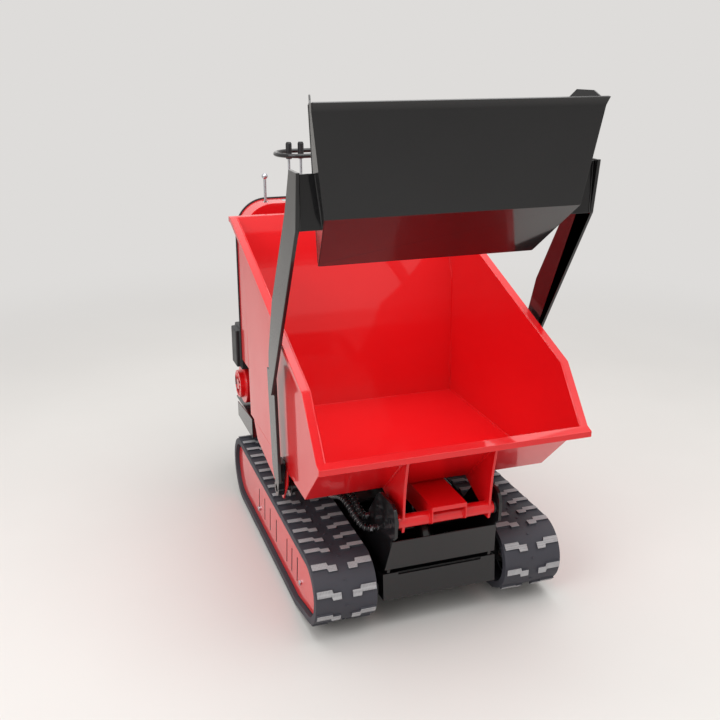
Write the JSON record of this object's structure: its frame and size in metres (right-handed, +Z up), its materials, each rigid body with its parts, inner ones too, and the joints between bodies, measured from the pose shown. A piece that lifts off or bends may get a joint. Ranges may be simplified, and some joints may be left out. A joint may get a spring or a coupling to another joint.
{
  "type": "tracked power carrier",
  "caption": "Tracked walk-behind mini dumper with a red forward-tipping skip, a black self-loading shovel on lift arms, rubber tracks and a rear control console.",
  "frame": {"origin": "middle of the bounding box on the ground plane under the tracks", "axes": "+X to the right seen from the front, -Y towards the skip's front lip, +Z up"},
  "size_m": [0.864, 1.584, 1.5694],
  "materials": {
    "red_paint": "gloss",
    "black_paint": "gloss",
    "rubber": "matte",
    "zinc": "satin",
    "steel": "satin",
    "chrome": "polished",
    "cast_metal": "cast",
    "black_plastic": "matte"
  },
  "bodies": {
    "carrier": {"chassis_frame": "black_paint", "front_cover_upper": "black_paint", "front_cover_lower": "black_paint", "panel_bolts": "zinc", "track_frame_left": "black_paint", "track_frame_right": "black_paint", "track_left": "rubber", "track_right": "rubber", "track_cover_left": "red_paint", "track_cover_right": "red_paint", "roller_pins": "zinc", "gearbox": "cast_metal", "engine_block": "cast_metal", "fan_cover": "red_paint", "fuel_tank": "black_paint", "muffler": "steel", "air_filter": "black_plastic", "drive_belt": "rubber", "hydraulic_pump": "cast_metal", "hydraulic_tank": "black_paint", "control_valve": "cast_metal", "console_hood": "red_paint", "console_trim": "rubber", "handlebar": "black_paint", "handle_grips": "rubber", "lever_guard": "black_paint", "hydraulic_hoses": "black_plastic", "hinge_pins": "zinc", "deck_trays": "black_paint"},
    "sprocket_left": {"sprocket_left": "steel"},
    "sprocket_right": {"sprocket_right": "steel"},
    "idler_left": {"idler_left": "steel"},
    "idler_right": {"idler_right": "steel"},
    "roller_left_front": {"roller_left_front": "steel"},
    "roller_left_rear": {"roller_left_rear": "steel"},
    "roller_right_front": {"roller_right_front": "steel"},
    "roller_right_rear": {"roller_right_rear": "steel"},
    "engine_pulley": {"engine_pulley": "steel"},
    "gearbox_pulley": {"gearbox_pulley": "steel"},
    "recoil_handle": {"recoil_handle": "black_plastic"},
    "fuel_cap": {"fuel_cap": "black_plastic"},
    "gear_lever": {"gear_lever": "zinc"},
    "clutch_lever_left": {"clutch_lever_left": "zinc"},
    "clutch_lever_right": {"clutch_lever_right": "zinc"},
    "loader_rod": {"loader_rod": "chrome"},
    "tip_barrel": {"tip_barrel": "black_paint"},
    "tip_rod": {"tip_rod": "chrome"},
    "tip_lever": {"tip_lever": "zinc", "tip_lever_grip": "black_plastic"},
    "loader_lever": {"loader_lever": "zinc", "loader_lever_grip": "black_plastic"},
    "skip": {"skip_tub": "red_paint", "skip_rim": "red_paint", "hinge_frame": "red_paint", "skip_ears": "red_paint", "loader_cylinder": "black_paint"},
    "loader": {"loader_arm_left": "black_paint", "loader_arm_right": "black_paint", "torque_shaft": "black_paint", "shovel": "black_paint"}
  },
  "joints": [
    {"name": "skip_tilt", "type": "hinge", "parent": "carrier", "child": "skip", "pos_m": [0, -0.693, 0.373], "axis": [1, 0, 0], "range_deg": [0, 65]},
    {"name": "tip_barrel_swing", "type": "hinge", "parent": "carrier", "child": "tip_barrel", "pos_m": [0, -0.595, 0.154], "axis": [1, 0, 0], "range_deg": [0, 32.6]},
    {"name": "tip_rod_slide", "type": "slide", "parent": "tip_barrel", "child": "tip_rod", "axis": [0, 0.5586, 0.8294], "range_m": [0, 0.1793]},
    {"name": "loader_lift", "type": "hinge", "parent": "skip", "child": "loader", "pos_m": [0, -0.308, 0.343], "axis": [-1, 0, 0], "range_deg": [-83.5, 0]},
    {"name": "loader_rod_slide", "type": "slide", "parent": "skip", "child": "loader_rod", "axis": [0, 1, 0], "range_m": [-0.0802, 0]},
    {"name": "sprocket_left_turn", "type": "hinge", "parent": "carrier", "child": "sprocket_left", "pos_m": [-0.305, 0.307, 0.129], "axis": [1, 0, 0], "continuous": true},
    {"name": "idler_left_turn", "type": "hinge", "parent": "carrier", "child": "idler_left", "pos_m": [-0.305, -0.591, 0.142], "axis": [1, 0, 0], "continuous": true},
    {"name": "roller_left_front_turn", "type": "hinge", "parent": "carrier", "child": "roller_left_front", "pos_m": [-0.305, -0.453, 0.068], "axis": [1, 0, 0], "continuous": true},
    {"name": "roller_left_rear_turn", "type": "hinge", "parent": "carrier", "child": "roller_left_rear", "pos_m": [-0.305, -0.068, 0.068], "axis": [1, 0, 0], "continuous": true},
    {"name": "sprocket_right_turn", "type": "hinge", "parent": "carrier", "child": "sprocket_right", "pos_m": [0.305, 0.307, 0.129], "axis": [1, 0, 0], "continuous": true},
    {"name": "idler_right_turn", "type": "hinge", "parent": "carrier", "child": "idler_right", "pos_m": [0.305, -0.591, 0.142], "axis": [1, 0, 0], "continuous": true},
    {"name": "roller_right_front_turn", "type": "hinge", "parent": "carrier", "child": "roller_right_front", "pos_m": [0.305, -0.453, 0.068], "axis": [1, 0, 0], "continuous": true},
    {"name": "roller_right_rear_turn", "type": "hinge", "parent": "carrier", "child": "roller_right_rear", "pos_m": [0.305, -0.068, 0.068], "axis": [1, 0, 0], "continuous": true},
    {"name": "engine_pulley_turn", "type": "hinge", "parent": "carrier", "child": "engine_pulley", "pos_m": [0, 0.582, 0.38], "axis": [1, 0, 0], "continuous": true},
    {"name": "gearbox_pulley_turn", "type": "hinge", "parent": "carrier", "child": "gearbox_pulley", "pos_m": [0, 0.252, 0.225], "axis": [1, 0, 0], "continuous": true},
    {"name": "recoil_pull", "type": "slide", "parent": "carrier", "child": "recoil_handle", "axis": [0, 1, 0], "range_m": [0, 0.25], "stiffness_N_per_m": 60},
    {"name": "fuel_cap_turn", "type": "hinge", "parent": "carrier", "child": "fuel_cap", "pos_m": [-0.118, 0.586, 0.618], "axis": [0, 0, 1], "range_deg": [0, 90]},
    {"name": "tip_lever_swing", "type": "hinge", "parent": "carrier", "child": "tip_lever", "pos_m": [-0.15, 0.432, 1.112], "axis": [1, 0, 0], "range_deg": [-7, 7], "stiffness_Nm_per_rad": 4},
    {"name": "loader_lever_swing", "type": "hinge", "parent": "carrier", "child": "loader_lever", "pos_m": [-0.105, 0.432, 1.112], "axis": [1, 0, 0], "range_deg": [-7, 7], "stiffness_Nm_per_rad": 4},
    {"name": "gear_lever_swing", "type": "hinge", "parent": "carrier", "child": "gear_lever", "pos_m": [-0.245, 0.422, 1.08], "axis": [1, 0, 0], "range_deg": [-12, 12]},
    {"name": "clutch_lever_left_squeeze", "type": "hinge", "parent": "carrier", "child": "clutch_lever_left", "pos_m": [-0.2, 0.665, 1.01], "axis": [1, 0, 0], "range_deg": [0, 10], "stiffness_Nm_per_rad": 6},
    {"name": "clutch_lever_right_squeeze", "type": "hinge", "parent": "carrier", "child": "clutch_lever_right", "pos_m": [0.2, 0.665, 1.01], "axis": [1, 0, 0], "range_deg": [0, 10], "stiffness_Nm_per_rad": 6}
  ],
  "couplings": [
    {"joint": "tip_barrel_swing", "follows": "skip_tilt", "ratio": 0.5},
    {"joint": "tip_rod_slide", "follows": "skip_tilt", "m_per_rad": 0.15782},
    {"joint": "loader_rod_slide", "follows": "loader_lift", "m_per_rad": 0.05483},
    {"joint": "gearbox_pulley_turn", "follows": "engine_pulley_turn", "ratio": 0.9},
    {"joint": "idler_left_turn", "follows": "sprocket_left_turn", "ratio": 1.2024},
    {"joint": "roller_left_front_turn", "follows": "sprocket_left_turn", "ratio": 2.525},
    {"joint": "roller_left_rear_turn", "follows": "sprocket_left_turn", "ratio": 2.525},
    {"joint": "idler_right_turn", "follows": "sprocket_right_turn", "ratio": 1.2024},
    {"joint": "roller_right_front_turn", "follows": "sprocket_right_turn", "ratio": 2.525},
    {"joint": "roller_right_rear_turn", "follows": "sprocket_right_turn", "ratio": 2.525}
  ]
}
